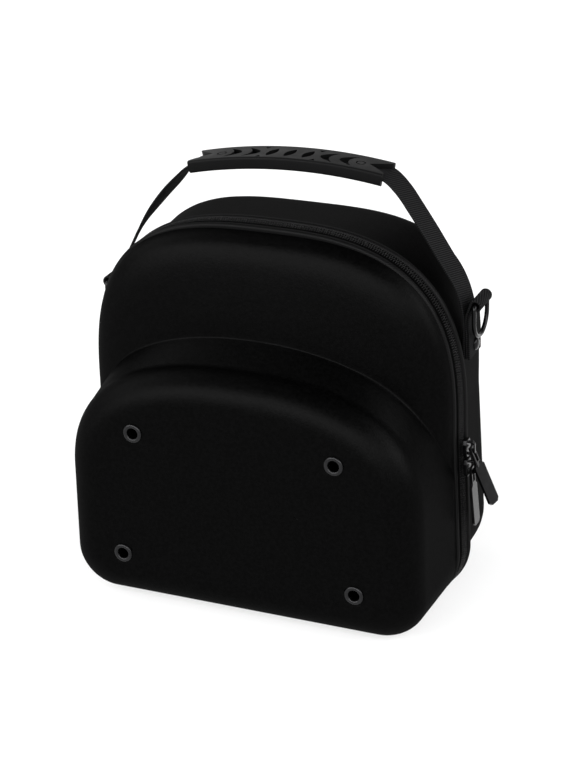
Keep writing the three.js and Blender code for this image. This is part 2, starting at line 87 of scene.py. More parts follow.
# Arched outlines: half widths at foot and waist, heights, the dome's power and the lower corners' radius.
OUTLINES = {
    "lip": dict(foot=140, waist=136.6, waist_z=138, crown=273, power=2.88, corner=42.7, base=0),
    "rear_lip": dict(foot=142.4, waist=139, waist_z=138, crown=273.2, power=2.78, corner=43.5, base=0),
    "pillow_rim": dict(foot=138.9, waist=135.5, waist_z=138, crown=269.6, power=2.98, corner=42.7, base=4),
    "visor_rim": dict(foot=138.9, waist=137.4, waist_z=93.5, crown=220, power=1.95, corner=41, base=0),
    "visor_edge": dict(foot=133.6, waist=132.7, waist_z=93.5, crown=186.2, power=2.46, corner=31, base=1.8),
    "rear_rim": dict(foot=135, waist=131.6, waist_z=138, crown=268, power=2.88, corner=42.7, base=0),
    "rear_edge": dict(foot=133.8, waist=128.7, waist_z=143.4, crown=266, power=3.39, corner=42.7, base=0),
}
# How fast the lower corners tighten as an outline is drawn in, and their least radius.
CORNER_SHRINK = 0.6
CORNER_LEAST = 3.0
# Pillow-shaped upper front face: inset from its rim and depth. Outside the rim it falls away at a slope.
PILLOW = ((0, 10.9), (2, 16.5), (6, 21.5), (12, 25.5), (20.4, 29), (34.2, 32.5), (55.3, 36.5), (77.3, 39))
PILLOW_FALL = 10.0
PILLOW_SEARCH = dict(low=-40.0, high=130.0, halvings=40)
# Fillet in the crease: its radius, at most a share of the room beside it, and a step to measure slopes over.
CREASE_ROUND = 1.6
CREASE_SHARE = 0.3
SLOPE_STEP = 0.5
# Flat faces: how far their middle is crowned, and how near the middle their last ring comes.
FACE_CROWN = 0.5
FACE_LEFT = 3.0
SHELL_WELD = 0.02

# Fineness: points round an outline, rows of the shells' stretches, and steps that curves are worked out at.
AROUND = 360
WALL_ROWS = 10
ROUND_ROWS = 14
FACE_ROWS = 14
CREASE_ROWS = 5
PILLOW_ROWS = 40
PILLOW_EASE = 1.6
PILLOW_STEPS = 600
VISOR_STEPS = 90
RIM_STEPS = 12 * AROUND
CORNER_STEPS = 80
DOME_STEPS = 400
SPLINE_STEPS = 40

# Lips and zip.
LIP = dict(face=5.8, thick=5.2, width=8.4, round=2.1)
TAPE = dict(inset=2.6, thick=1.0, near=0.02, far=6.1, edge=0.3, steps=420)
COIL = dict(inset=0.6, pitch=1.75, thick=0.48, tall=0.6, reach=3.4)
# One turn of the coil: distance from the zip's middle and share of the full size.
COIL_TURN = (
    (0.12, 0.3), (0.35, 1.0), (0.75, 1.1), (1.15, 0.7),
    (2.2, 0.65), (2.65, 0.95), (3.05, 0.95), (3.4, 0.35),
)
STITCH = dict(pitch=3.0, length=2.1, thick=0.3, depth=4.6, proud=0.05, offset=0.5)
# One stitch: share of its half length and share of its full size.
STITCH_FORM = ((-1, 0.3), (-0.7, 0.9), (0, 1.1), (0.7, 0.9), (1, 0.3))
# The zip's run starts this far from the middle of the base, on either side.
ZIP_START = 114.0
ZIP_LOOP_STEPS = 3000
ZIP_RUN_STEPS = 2400
BAR_SIDES = 8
# The halves of the zip: which way they face and where their coils' turns start, as a share of the pitch.
HALVES = (dict(name="front", facing=-1, offset=0.25), dict(name="rear", facing=1, offset=0.75))

# Pieces that keep their solid's shape, with rounded edges: radii, and how the solid is cleaned first.
EDGE_ROUND = dict(hinge=0.3, slider=0.35, pull=0.45)
SOFTEN = dict(weld=0.2, flat=1.0, sharp=20.0, segments=3)

# Eyelets: hole and cut in the shell as shares of the flange's radius, the rolled rim and the barrel.
EYELET = dict(hole=0.58, cut=0.72, cut_reach=15.0, steps=48)
ROLL = dict(arc=(200, -20), steps=15, foot=0.25, rise=1.25, fullness=0.8, edge=0.2)
BARREL = dict(seat=0.05, lap=0.4, metal=0.7, clear=0.3, washer=1.0)
# Rivets: their profile starts and ends a little off the axis and is welded shut there.
RIVET = dict(dome=2.3, head=2.5, lap=0.3, shank=2.0, tail=4.0, tail_thick=1.0, weld=0.03, steps=32)
RIVET_DOME = dict(start=0.02, steps=10)
OFF_AXIS = 0.01

# Webbing handle: centre line beside the case, from its lower end to the grip. Edge is a share of thick.
STRAP = dict(width=25.0, thick=1.8, bend=4.0, edge=0.42)
STRAP_RUN_RIGHT = (
    (131.5, 179.7), (131.4, 193.3), (131.1, 205), (129.7, 217.4), (124.7, 232.8), (113, 251.3),
    (102.2, 268.2), (87.2, 290.3),
)
STRAP_RUN_LEFT = (
    (131.5, 161.7), (131.4, 175.3), (131.4, 190), (131.4, 206), (130.6, 219), (127.2, 229.5),
    (117.1, 246.3), (103, 266), (84, 288.2),
)
# Twist of the left-hand run: height and degrees, the front edge inwards.
STRAP_TWIST = (
    (192, 0), (205, 6), (218, 13), (237, 16), (246, 10), (256, 3), (266, -2), (280, -5), (292, 0),
)
STRAP_STEPS = dict(run=90, bend=16, grip=50, twist=200)
# How much higher each side's tab and ring are and how much further out the ring hangs.
SIDES = (
    dict(name="right", sign=1, rise=3.0, out=0.0, run=STRAP_RUN_RIGHT),
    dict(name="left", sign=-1, rise=-15.0, out=2.9, run=STRAP_RUN_LEFT),
)

# Moulded grip. Its end's direction is taken from a place this share of the way out.
GRIP = dict(half=72.6, rise=7.0, width=28.4, thick=9.0, top_z=312.9, tilt=2.3, edge=1.9, steps=90)
GRIP_END_FROM = 0.98
GRIP_SHARP = 40.0
GRIP_TUNNEL = dict(width=25.6, thick=2.4, edge=0.6)
GRIP_NOTCH = dict(deep=14.0, mouth=10.0)
# Cut-outs in the grip's top, open to the webbing, about a middle a little off the sleeve's own.
CUT_OUT = dict(floor=0.6, clear=1.0)
PATTERN_MIDDLE = (1.0, -1.4)
OVAL = dict(xs=(-13.2, 0.0, 13.2), length=16.0, width=6.4, slant=12.7, steps=15)
CRESCENT = dict(fronts=(22.4, 36.5), bow=11.6, hollow=4.9, half=9.2, steps=17)
DART = dict(x=20.2, base=10.6, apex=7.6, half=2.3)
CIRCLE = dict(x=51.8, radius=3.0, width=0.9, deep=0.6, steps=32)

# Ring tabs and rings. The bow starts at an angle in radians, and the gap lies between layers of webbing.
TAB = dict(thick=1.6, levels=(177.6, 192, 207), clear=1.2, wrap=300.0, eye_steps=15, steps=150)
RING = dict(x=139.5, z=217.6, wire=3.2, inside=26.0, drop=25.2, corner=2.8, straight=11.0, bow_start=0.06)
RING_STEPS = dict(corner=8, bow=16, line=110, wire=16)
GAP = 0.3

# Knit of the shells: a row's height as a share of a column's width, the depth of the valleys between
# columns, and how sharply one plane's stitches give way to the next plane's.
KNIT = dict(row=0.75, valley=6.0, blend=6.0)


# Outlines and curves.

def inset(o, d):
    """An arched outline drawn in by d all round."""
    drawn = {key: o[key] - d for key in ("foot", "waist", "crown")}
    corner = np.maximum(o["corner"] - CORNER_SHRINK * d, CORNER_LEAST)
    return {**o, **drawn, "base": o["base"] + d, "corner": corner}


def between(a, b, t):
    """An arched outline a share of the way from one to another."""
    return {key: a[key] + (b[key] - a[key]) * t for key in a}


def run_lengths(points):
    """Length along a line of points up to each of them."""
    return np.r_[0, np.cumsum(np.linalg.norm(np.diff(points, axis=0), axis=1))]


def at_even_steps(points, count, closed=False):
    """count points at even steps along a line of points."""
    line = np.vstack([points, points[:1]]) if closed else np.asarray(points, float)
    length = run_lengths(line)
    steps = np.linspace(0, length[-1], count, endpoint=not closed)
    return np.column_stack([np.interp(steps, length, line[:, k]) for k in range(line.shape[1])])


def arch(o, count=AROUND):
    """count points (x, z) of an arched outline, from the middle of the base up the right-hand side."""
    a = np.linspace(0, math.pi / 2, CORNER_STEPS)
    corner_x = o["foot"] - o["corner"] * (1 - np.sin(a))
    corner_z = o["base"] + o["corner"] * (1 - np.cos(a))
    u = np.linspace(0, 1, DOME_STEPS)
    b = (math.pi / 2) * u * u * (3 - 2 * u)
    k = 2 / o["power"]
    dome_x = o["waist"] * np.cos(b).clip(0) ** k
    dome_z = o["waist_z"] + (o["crown"] - o["waist_z"]) * np.sin(b) ** k
    half = np.column_stack([np.r_[0, corner_x, dome_x], np.r_[o["base"], corner_z, dome_z]])
    mirrored = half[-2:0:-1] * (-1, 1)
    return at_even_steps(np.vstack([half, mirrored]), count, closed=True)


def section(o, depth, facing):
    """An arched outline as 3-D points, on the front (-1) or the rear (1) of the zip."""
    xz = arch(o)
    return np.column_stack([xz[:, 0], np.full(len(xz), ZIP_Y + facing * depth), xz[:, 1]])


def spline(points, count):
    """count points on a smooth curve through points."""
    p = np.asarray(points, float)
    p = np.vstack([2 * p[0] - p[1], p, 2 * p[-1] - p[-2]])
    out = []
    for t in np.linspace(0, len(points) - 1, SPLINE_STEPS * len(points)):
        i = min(int(t), len(points) - 2)
        f = t - i
        a, b, c, d = p[i:i + 4]
        square = 2 * a - 5 * b + 4 * c - d
        cube = 3 * b - a - 3 * c + d
        out.append(0.5 * (2 * b + (c - a) * f + square * f * f + cube * f ** 3))
    return at_even_steps(np.array(out), count)


def unit(v):
    return v / np.maximum(np.linalg.norm(v, axis=-1, keepdims=True), 1e-9)


def full_turn(steps):
    """Angles at even steps once round."""
    return np.linspace(0, 2 * math.pi, steps, endpoint=False)


def box_of(node):
    """Lowest and highest corner of a solid, in millimetres."""
    return np.array([list(corner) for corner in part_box(node)]) / MM


# Meshes.

def quads(shape, around=False, along=False):
    """Faces over a grid of points with that many rows and columns."""
    index = np.arange(shape[0] * shape[1]).reshape(shape[:2])
    if around:
        index = np.hstack([index, index[:, :1]])
    if along:
        index = np.vstack([index, index[:1]])
    corners = (index[:-1, :-1], index[:-1, 1:], index[1:, 1:], index[1:, :-1])
    return np.stack(corners, -1).reshape(-1, 4)


def end_caps(shape):
    """Faces on the first and the last row of a grid of points."""
    rows, columns = shape[:2]
    return [range(columns), range(columns * (rows - 1), columns * rows)]


def mesh_of(name, points, faces, weld=0.0):
    """A mesh of points in millimetres, welded where they coincide, with its faces turned outwards."""
    mesh = bpy.data.meshes.new(name)
    metres = np.asarray(points, float).reshape(-1, 3) * MM
    mesh.from_pydata(metres.tolist(), [], [list(map(int, f)) for f in faces])
    bm = bmesh.new()
    bm.from_mesh(mesh)
    if weld:
        bmesh.ops.remove_doubles(bm, verts=bm.verts, dist=weld * MM)
    bmesh.ops.recalc_face_normals(bm, faces=bm.faces)
    bm.to_mesh(mesh)
    bm.free()
    return mesh


def piece(name, points, faces, finish, body="case", nodes=(), weld=0.0):
    """A named piece of the object that rides on a body."""
    mesh = mesh_of(name, points, faces, weld)
    mesh.shade_smooth()
    return settle(bpy.data.objects.new(name, mesh), finish, body, nodes)


def settle(obj, finish, body, nodes):
    """Puts an object into the scene with its finish and its body, and hides the solids that it stands for.
    """
    material, slot = FINISHES[finish]
    bpy.context.scene.collection.objects.link(obj)
    obj.data.materials.clear()
    obj.data.materials.append(material)
    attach(obj, body)
    if nodes:
        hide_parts(*nodes)
    return obj


def apply_modifiers(obj):
    """Bakes an object's modifiers into its mesh."""
    graph = bpy.context.evaluated_depsgraph_get()
    mesh = bpy.data.meshes.new_from_object(obj.evaluated_get(graph))
    obj.modifiers.clear()
    obj.data = mesh


def write_uv(obj, along, across):
    """Stores a place in millimetres for each vertex of a grid, for woven finishes."""
    uv = np.stack(np.broadcast_arrays(along, across), -1).reshape(-1, 2)
    layer = obj.data.uv_layers.new(name="weave")
    loops = np.zeros(len(obj.data.loops), int)
    obj.data.loops.foreach_get("vertex_index", loops)
    layer.data.foreach_set("uv", uv[loops].ravel())


def sweep(path, across, out, profile):
    """Points of a profile (across, out) carried along a path."""
    return path[:, None] + profile[None, :, :1] * across[:, None] + profile[None, :, 1:] * out[:, None]


def rounded_bar(width, thick, radius, steps, flats):
    """Closed outline (across, out) of a flat bar: steps points to a corner and flats parts to a flat."""
    corners = []
    for x, y, start in ((1, 1, 0), (-1, 1, 90), (-1, -1, 180), (1, -1, 270)):
        middle_x, middle_y = x * (width / 2 - radius), y * (thick / 2 - radius)
        for a in np.radians(np.linspace(start, start + 90, steps)):
            corners.append((middle_x + radius * math.cos(a), middle_y + radius * math.sin(a)))
    shortest_flat = 0.3 * width
    points = []
    for i, p in enumerate(corners):
        q = corners[(i + 1) % len(corners)]
        parts = flats if math.dist(p, q) > shortest_flat else 1
        points += [tuple(np.add(p, np.subtract(q, p) * k / flats)) for k in range(parts)]
    return np.array(points)


def woven_band(name, path, across, out, bar, finish, nodes):
    """A flat band with closed ends along a path, with its weave places."""
    grid = sweep(path, across, out, bar)
    obj = piece(name, grid, [*quads(grid.shape, around=True), *end_caps(grid.shape)], finish, nodes=nodes)
    write_uv(obj, run_lengths(path)[:, None], bar[None, :, 0])


def lathe(profile, centre, axis, steps):
    """Points of a profile (radius, height) turned about an axis through centre."""
    axis = np.array(axis, float)
    askew = (0.3, 0.5, 0.8)
    side = np.cross(axis, askew)
    side /= np.linalg.norm(side)
    other = np.cross(axis, side)
    a = full_turn(steps)
    ring = np.cos(a)[:, None] * side + np.sin(a)[:, None] * other
    p = np.array(profile, float)
    return np.array(centre) + ring[:, None] * p[None, :, :1] + axis * p[None, :, 1:]


def cutter(rings, hollow=False):
    """Closed mesh through rings of points, which are capped or join up again."""
    grid = np.array(rings)
    caps = [] if hollow else end_caps(grid.shape)
    return mesh_of("cutter", grid, [*quads(grid.shape, around=True, along=hollow), *caps])


def carve(obj, meshes):
    """Cuts closed meshes out of an object."""
    for mesh in meshes:
        tool = bpy.data.objects.new("cutter", mesh)
        bpy.context.scene.collection.objects.link(tool)
        cut = obj.modifiers.new("cut", "BOOLEAN")
        cut.object = tool
        cut.operation = "DIFFERENCE"
        cut.solver = "EXACT"
        apply_modifiers(obj)
        bpy.data.objects.remove(tool)


# Finishes. Noises, relief and the knit's pitch go by metres, and weaves by the millimetres of write_uv.

class Finish:
    """A material with a principled shader and short ways to add nodes."""

    def __init__(self, name, colour, **sockets):
        self.material = bpy.data.materials.new(name)
        self.material.use_nodes = True
        self.tree = self.material.node_tree
        self.shader = self.tree.nodes["Principled BSDF"]
        self.use(Base_Color=(*colour, 1), **sockets)

    def use(self, **sockets):
        """Sets or links sockets of the shader and returns the material."""
        for socket, value in sockets.items():
            self.plug(self.shader.inputs[socket.replace("_", " ")], value)
        return self.material

    def plug(self, socket, value):
        if isinstance(value, bpy.types.NodeSocket):
            self.tree.links.new(value, socket)
        else:
            socket.default_value = value

    def node(self, kind, inputs=(), **settings):
        node = self.tree.nodes.new(kind)
        for key, value in settings.items():
            setattr(node, key, value)
        for socket, value in dict(inputs).items():
            self.plug(node.inputs[socket], value)
        return node

    def math(self, operation, a, b=0.0):
        return self.node("ShaderNodeMath", {0: a, 1: b}, operation=operation).outputs[0]

    def place(self):
        return self.node("ShaderNodeTexCoord").outputs["Object"]

    def parts(self, vector):
        """The x, y and z of a vector."""
        return self.node("ShaderNodeSeparateXYZ", {0: vector}).outputs

    def weave_place(self):
        return self.parts(self.node("ShaderNodeUVMap", uv_map="weave").outputs[0])

    def noise(self, scale, detail):
        inputs = {"Vector": self.place(), "Scale": scale, "Detail": detail}
        return self.node("ShaderNodeTexNoise", inputs).outputs[0]

    def bump(self, height, strength, distance, under=None):
        inputs = {"Height": height, "Strength": strength, "Distance": distance}
        if under is not None:
            inputs["Normal"] = under
        return self.node("ShaderNodeBump", inputs).outputs[0]

    def ramp(self, factor, low, high, start, end):
        """A colour from low to high as the factor goes from start to end."""
        node = self.node("ShaderNodeValToRGB", {0: factor})
        for element, place, colour in zip(node.color_ramp.elements, (start, end), (low, high)):
            element.position = place
            element.color = (*colour, 1)
        return node.outputs[0]

    def spread(self, factor, low, high, start=0.3, end=0.7):
        """A number from low to high as the factor goes from start to end."""
        return self.node("ShaderNodeMapRange", {0: factor, 1: start, 2: end, 3: low, 4: high}).outputs[0]


def grey(level, tint=1.04):
    """A nearly neutral grey with a little more blue."""
    return (level, level, level * tint)


def knit(f, u, v, pitch):
    """Height of a fine knit with columns of V-shaped stitches."""
    column = f.math("FRACT", f.math("DIVIDE", u, pitch))
    edge = f.math("ABSOLUTE", f.math("SUBTRACT", column, 0.5))
    row = f.math("ADD", f.math("DIVIDE", v, KNIT["row"] * pitch), edge)
    loop = f.math("SINE", f.math("MULTIPLY", row, 2 * math.pi))
    valley = f.math("MULTIPLY", edge, edge)
    return f.math("SUBTRACT", loop, f.math("MULTIPLY", valley, KNIT["valley"]))


def knit_all_round(f, pitch):
    """Height of the knit on whichever plane the surface faces."""
    place = f.parts(f.place())
    facing = f.parts(f.node("ShaderNodeNewGeometry").outputs["Normal"])
    total, weights = None, None
    for axis, (u, v) in enumerate(((1, 2), (0, 2), (0, 1))):
        weight = f.math("POWER", f.math("ABSOLUTE", facing[axis]), KNIT["blend"])
        part = f.math("MULTIPLY", knit(f, place[u], place[v], pitch), weight)
        total = part if total is None else f.math("ADD", total, part)
        weights = weight if weights is None else f.math("ADD", weights, weight)
    return f.math("DIVIDE", total, weights)


def knitted_cloth(name, level, pitch, shine):
    """Fine knit bonded to foam, a little uneven, with a fuzzy grain."""
    f = Finish(name, grey(level), Roughness=0.8, Specular_IOR_Level=0.0, Sheen_Weight=0.0022,
               Sheen_Roughness=0.35, Coat_Weight=shine, Coat_Roughness=0.36)
    stitches = knit_all_round(f, pitch)
    grain = f.noise(scale=800.0, detail=2.0)
    mottle = f.noise(scale=420.0, detail=4.0)
    cloudy = f.noise(scale=22.0, detail=4.0)
    slack = f.bump(cloudy, strength=0.12, distance=0.004)
    fuzz = f.bump(grain, strength=0.38, distance=0.00032, under=slack)
    relief = f.bump(stitches, strength=0.35, distance=0.00004, under=fuzz)
    colour = f.ramp(mottle, grey(level * 0.2), grey(level * 1.6), start=0.36, end=0.68)
    rough = f.spread(grain, low=0.7, high=0.9)
    return f.use(Base_Color=colour, Roughness=rough, Normal=relief, Coat_Normal=relief)


def woven_cloth(name, level, pitch, depth, shine, slant=1.0):
    """Twill: yarns that pass over and under in slanting steps."""
    f = Finish(name, grey(level), Roughness=0.8, Specular_IOR_Level=0.0, Sheen_Weight=0.003,
               Sheen_Roughness=0.4, Coat_Weight=shine, Coat_Roughness=0.42)
    u, v = f.weave_place()[:2]
    along = f.math("DIVIDE", u, pitch)
    side = f.math("DIVIDE", v, pitch)
    yarn = f.math("ABSOLUTE", f.math("SINE", f.math("MULTIPLY", side, math.pi)))
    step = f.math("MULTIPLY", f.math("FLOOR", side), slant)
    over = f.math("SINE", f.math("MULTIPLY", f.math("ADD", along, step), math.pi / 2))
    height = f.math("MULTIPLY", yarn, f.math("ADD", f.math("MULTIPLY", over, 0.5), 0.5))
    fibre = f.bump(f.noise(scale=1600.0, detail=2.0), strength=0.2, distance=0.0002)
    relief = f.bump(height, strength=depth, distance=0.0002, under=fibre)
    # Painted light and shade: the colour follows the weave's height, lighter on the yarns' tops and darker
    # in the dips.
    colour = f.ramp(height, grey(level * 0.1), grey(level * 2.2), start=0.1, end=0.8)
    return f.use(Base_Color=colour, Normal=relief, Coat_Normal=relief)


def nylon(name, level):
    """Smooth nylon with uneven gloss."""
    f = Finish(name, grey(level), Roughness=0.38, Specular_IOR_Level=0.14)
    return f.use(Roughness=f.spread(f.noise(scale=500.0, detail=3.0), low=0.3, high=0.5))


def rubber(name, level):
    """Soft moulded rubber with a fine grain and a little wear."""
    f = Finish(name, grey(level), Roughness=0.48, Specular_IOR_Level=0.06)
    grain = f.noise(scale=1400.0, detail=2.0)
    wear = f.noise(scale=60.0, detail=4.0)
    colour = f.ramp(wear, grey(level * 0.9), grey(level * 1.12), start=0.35, end=0.65)
    rough = f.spread(wear, low=0.4, high=0.55)
    return f.use(Base_Color=colour, Roughness=rough, Normal=f.bump(grain, strength=0.18, distance=0.00015))


def painted_metal(name, level, roughness):
    """Black metal with faint wear in colour and gloss."""
    f = Finish(name, grey(level, 1.02), Roughness=roughness, Metallic=0.9)
    wear = f.noise(scale=180.0, detail=5.0)
    fine = f.noise(scale=2500.0, detail=2.0)
    colour = f.ramp(wear, grey(level * 0.85), grey(level * 1.2), start=0.3, end=0.75)
    rough = f.spread(wear, low=roughness * 0.75, high=roughness * 1.3)
    return f.use(Base_Color=colour, Roughness=rough, Normal=f.bump(fine, strength=0.04, distance=0.0001))


# Each finish with the slot that it fills.
FINISHES = {
    "shell": (knitted_cloth("shell_cloth", level=0.0004, pitch=0.0009, shine=0.064), "shell_cloth"),
    "lip": (woven_cloth("lip_cloth", level=0.002, pitch=0.5, depth=0.2, shine=0.13), "lip_cloth"),
    "tape": (woven_cloth("zip_tape", level=0.001, pitch=0.45, depth=0.3, shine=0.05), "zip_tape"),
    "coil": (nylon("zip_coil", level=0.002), "zip_tape"),
    "thread": (nylon("sewing_thread", level=0.004), "zip_tape"),
    "webbing": (woven_cloth("webbing", level=0.008, pitch=0.38, depth=0.6, shine=0.07, slant=0.25),
                "webbing"),
    "rubber": (rubber("grip_rubber", level=0.002), "grip_rubber"),
    "satin": (painted_metal("eyelet_metal", level=0.018, roughness=0.3), "eyelet_metal"),
    "gloss": (painted_metal("black_metal", level=0.01, roughness=0.2), "black_metal"),
}


# Shells.

def inset_of(x, z):
    """How far in from the pillow's rim each point lies, found by halving."""
    low, high = np.full(np.shape(x), PILLOW_SEARCH["low"]), np.full(np.shape(x), PILLOW_SEARCH["high"])
    for _ in range(PILLOW_SEARCH["halvings"]):
        mid = (low + high) / 2
        o = inset(OUTLINES["pillow_rim"], mid)
        rise = ((z - o["waist_z"]) / (o["crown"] - o["waist_z"])).clip(0, 1)
        dome = o["waist"] * (1 - rise ** o["power"]) ** (1 / o["power"])
        run = (z - o["base"] - o["corner"]) / (o["waist_z"] - o["base"] - o["corner"])
        side = o["foot"] + (o["waist"] - o["foot"]) * run
        inside = np.abs(x) <= np.where(z > o["waist_z"], dome, side)
        low, high = np.where(inside, mid, low), np.where(inside, high, mid)
    return low


PILLOW_LINE = spline(PILLOW, PILLOW_STEPS)


def pillow_depth(x, z):
    """Depth of the pillow-shaped face in front of the zip."""
    d = inset_of(x, z)
    outside = np.maximum(PILLOW[0][0] - d, 0)
    return np.interp(d, PILLOW_LINE[:, 0], PILLOW_LINE[:, 1]) - outside * PILLOW_FALL


def round_and_face(edge, deep, radius):
    """Rings of a rounded edge and of the slightly crowned face inside it, as (outline, depth)."""
    rings = []
    for a in np.linspace(0, math.pi / 2, ROUND_ROWS)[1:]:
        rings.append((inset(edge, radius * (1 - math.cos(a))), deep - radius + radius * math.sin(a)))
    reach = min(edge["crown"] - edge["waist_z"], edge["waist_z"] - edge["base"]) - radius - FACE_LEFT
    for t in np.linspace(0, 1, FACE_ROWS)[1:]:
        rings.append((inset(edge, radius + reach * t), deep + FACE_CROWN * math.sin(t * math.pi / 2)))
    return rings


def shell_piece(name, grid, node):
    """A skin through rings of points, capped at its last ring and given the shell's wall thickness."""
    faces = [*quads(grid.shape, around=True), end_caps(grid.shape)[1]]
    obj = piece(name, grid, faces, "shell", nodes=[node], weld=SHELL_WELD)
    wall = obj.modifiers.new("wall", "SOLIDIFY")
    wall.thickness = WALL * MM
    wall.offset = -1
    apply_modifiers(obj)
    return obj


def visor_wall():
    """Steps along the visor box's wall from rim to edge, its points, and where it leaves the pillow."""
    rim, edge = OUTLINES["visor_rim"], OUTLINES["visor_edge"]
    steps = np.linspace(0, 1, VISOR_STEPS)
    depths = RIM + (FRONT_DEPTH - VISOR_ROUND - RIM) * steps
    wall = np.array([section(between(rim, edge, t), d, -1) for t, d in zip(steps, depths)])
    proud = depths[:, None] - pillow_depth(wall[..., 0], wall[..., 2])
    leaves = np.zeros(AROUND)
    for k in range(AROUND):
        hidden = np.nonzero(proud[:, k] < 0)[0]
        if len(hidden) and wall[0, k, 2] > rim["waist_z"]:
            i = hidden[-1]
            f = proud[i, k] / (proud[i, k] - proud[i + 1, k])
            leaves[k] = steps[i] + f * (steps[i + 1] - steps[i])
    return steps, wall, leaves


def along_wall(steps, wall, k, t):
    """Points of the visor box's wall at one place round it, a share t of the way along."""
    return np.array([np.interp(t, steps, wall[:, k, axis]) for axis in range(3)]).T


def crease_arc(crease, wall_tangent, k, room):
    """Points of a small fillet between the pillow and the visor box at one place of the crease."""
    x, _, z = crease[k]
    h = SLOPE_STEP
    grad_x = (pillow_depth(x + h, z) - pillow_depth(x - h, z)) / (2 * h)
    grad_z = (pillow_depth(x, z + h) - pillow_depth(x, z - h)) / (2 * h)
    upper = unit(np.array([-grad_x, -1, -grad_z], float))
    lower = unit(np.cross(wall_tangent, crease[k + 1] - crease[k - 1]))
    if np.dot(lower, crease[k] - (0, crease[k][1], OUTLINES["visor_edge"]["waist_z"])) < 0:
        lower = -lower
    r = min(CREASE_ROUND, CREASE_SHARE * room)
    centre = crease[k] + r * (upper + lower) / (1 + np.dot(upper, lower))
    turns = unit(np.array([upper * (1 - t) + lower * t for t in np.linspace(0, 1, CREASE_ROWS)]))
    return centre - r * turns


def rim_above(crease):
    """Points (x, z) of the pillow's rim, one for each point of the crease."""
    rim = arch(OUTLINES["pillow_rim"], RIM_STEPS)
    first, last = (np.argmin(np.linalg.norm(rim - end[[0, 2]], axis=1)) for end in (crease[0], crease[-1]))
    share = run_lengths(crease)
    share /= share[-1]
    return rim[np.round(first + (last - first) * share).astype(int)]


def pillow_column(low, high, share):
    """Points up the pillow's face from a point of the crease to one (x, z) of the rim."""
    xz = low[[0, 2]] + (high - low[[0, 2]]) * share[:, None]
    return np.column_stack([xz[:, 0], ZIP_Y - pillow_depth(xz[:, 0], xz[:, 1]), xz[:, 1]])


def front_shell():
    """Pillow-shaped upper face and visor box, one skin with a small fillet in the crease between them."""
    steps, wall, leaves = visor_wall()
    crease = np.array([along_wall(steps, wall, k, leaves[k]) for k in range(AROUND)])
    creased = np.nonzero(leaves > 0)[0]
    first, last = creased[0] - 1, creased[-1] + 1
    rim = rim_above(crease[first:last + 1])

    columns = np.zeros((PILLOW_ROWS + CREASE_ROWS + WALL_ROWS, AROUND, 3))
    pillow, fillet, visor = np.split(columns, (PILLOW_ROWS, PILLOW_ROWS + CREASE_ROWS))
    pillow[:] = crease
    fillet[:] = crease
    down = np.linspace(0, 1, WALL_ROWS + 1)[1:]
    up = 1 - (1 - np.linspace(0, 1, PILLOW_ROWS + 1)[1:]) ** PILLOW_EASE
    for k in range(AROUND):
        visor[:, k] = along_wall(steps, wall, k, leaves[k] + (1 - leaves[k]) * down)
        if first < k < last:
            face = pillow_column(crease[k], rim[k - first], up)
            pillow[:, k] = face[::-1]
            room_up = np.linalg.norm(face[-1] - crease[k])
            room_down = WALL_ROWS * np.linalg.norm(visor[0, k] - crease[k])
            fillet[:, k] = crease_arc(crease, visor[-1, k] - crease[k], k, min(room_up, room_down))
    rings = [section(o, d, -1) for o, d in round_and_face(OUTLINES["visor_edge"], FRONT_DEPTH, VISOR_ROUND)]
    obj = shell_piece("front_shell_cloth", np.vstack([columns, rings]), "front_shell")
    cut_eyelet_holes(obj)


def cut_eyelet_holes(shell):
    """Round holes through the front face, inside the eyelets' flanges."""
    a = full_turn(EYELET["steps"])
    reach = (0, EYELET["cut_reach"], 0)
    meshes = []
    for node in (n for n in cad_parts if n.startswith("eyelet")):
        low, high = box_of(node)
        x, y, z = (low + high) / 2
        radius = EYELET["cut"] * (high[0] - low[0]) / 2
        ring = np.column_stack([x + radius * np.cos(a), np.full(len(a), y), z + radius * np.sin(a)])
        meshes.append(cutter([ring - reach, ring + reach]))
    carve(shell, meshes)


def rear_shell():
    """Deep arched tray."""
    rows = []
    for t in np.linspace(0, 1, WALL_ROWS + 1):
        depth = RIM + (REAR_DEPTH - REAR_ROUND - RIM) * t
        rows.append((between(OUTLINES["rear_rim"], OUTLINES["rear_edge"], t), depth))
    rows += round_and_face(OUTLINES["rear_edge"], REAR_DEPTH, REAR_ROUND)
    shell_piece("rear_shell_cloth", np.array([section(o, d, 1) for o, d in rows]), "rear_shell")


# Lips, zip and hinge strip.

def lip(name, facing, node):
    """Rounded welt round the whole outline."""
    outline = OUTLINES["lip" if facing < 0 else "rear_lip"]
    bar = rounded_bar(LIP["width"], LIP["thick"], LIP["round"], steps=6, flats=5)
    insets = LIP["width"] / 2 + bar[:, 0]
    depths = LIP["face"] + LIP["thick"] / 2 + bar[:, 1]
    grid = np.array([section(inset(outline, d), depth, facing) for d, depth in zip(insets, depths)])
    obj = piece(name, grid, quads(grid.shape, around=True, along=True), "lip", nodes=[node])
    write_uv(obj, run_lengths(grid[0])[None, :], run_lengths(bar)[:, None])


def zip_line(d, depth, count):
    """Points of the zip's run, d inside the lips and depth behind its middle, and its ways along and out."""
    share = 0.5 + depth / (2 * LIP["face"])
    loop = arch(inset(between(OUTLINES["lip"], OUTLINES["rear_lip"], share), d), ZIP_LOOP_STEPS)
    length = np.linalg.norm(np.diff(loop, axis=0), axis=1).mean()
    skip = int(ZIP_START / length)
    xz = at_even_steps(loop[skip:-skip], count)
    p = np.column_stack([xz[:, 0], np.full(count, ZIP_Y + depth), xz[:, 1]])
    along = unit(np.gradient(p, axis=0))
    out = np.column_stack([along[:, 2], np.zeros(count), -along[:, 0]])
    return p, along, out


